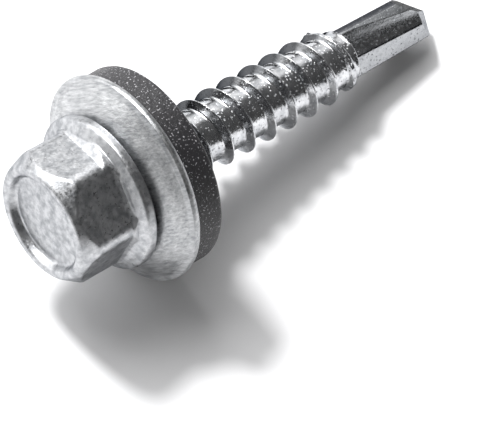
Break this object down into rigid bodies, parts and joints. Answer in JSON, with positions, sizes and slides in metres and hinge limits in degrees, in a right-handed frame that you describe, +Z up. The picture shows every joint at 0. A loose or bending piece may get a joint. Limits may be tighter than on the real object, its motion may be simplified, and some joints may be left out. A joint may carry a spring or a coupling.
{
  "type": "self drilling screw",
  "caption": "Hex washer-head self drilling screw lying at rest, with a coarse thread, a fluted drill point and a bonded rubber sealing washer under its head.",
  "frame": {"origin": "on the floor under the middle of the object's length, halfway across its width", "axes": "+X along the lying screw from its head to its drill point, +Z up, +Y to the left when looking from the head to the drill point"},
  "size_m": [0.0326, 0.0142, 0.0139],
  "materials": {
    "plated_steel": "bright zinc plate on carbon steel",
    "washer_metal": "satin galvanised sheet with fine scratches",
    "seal_rubber": "matt granular moulded rubber"
  },
  "bodies": {
    "screw": {"drilling_screw": "plated_steel"},
    "sealing_washer": {"washer_plate": "washer_metal", "rubber_seal": "seal_rubber"}
  },
  "joints": [
    {"name": "washer_spin", "type": "hinge", "parent": "screw", "child": "sealing_washer", "pos_m": [-0.01083, 0, 0.00735], "axis": [0.9784, 0, -0.2067], "continuous": true}
  ]
}
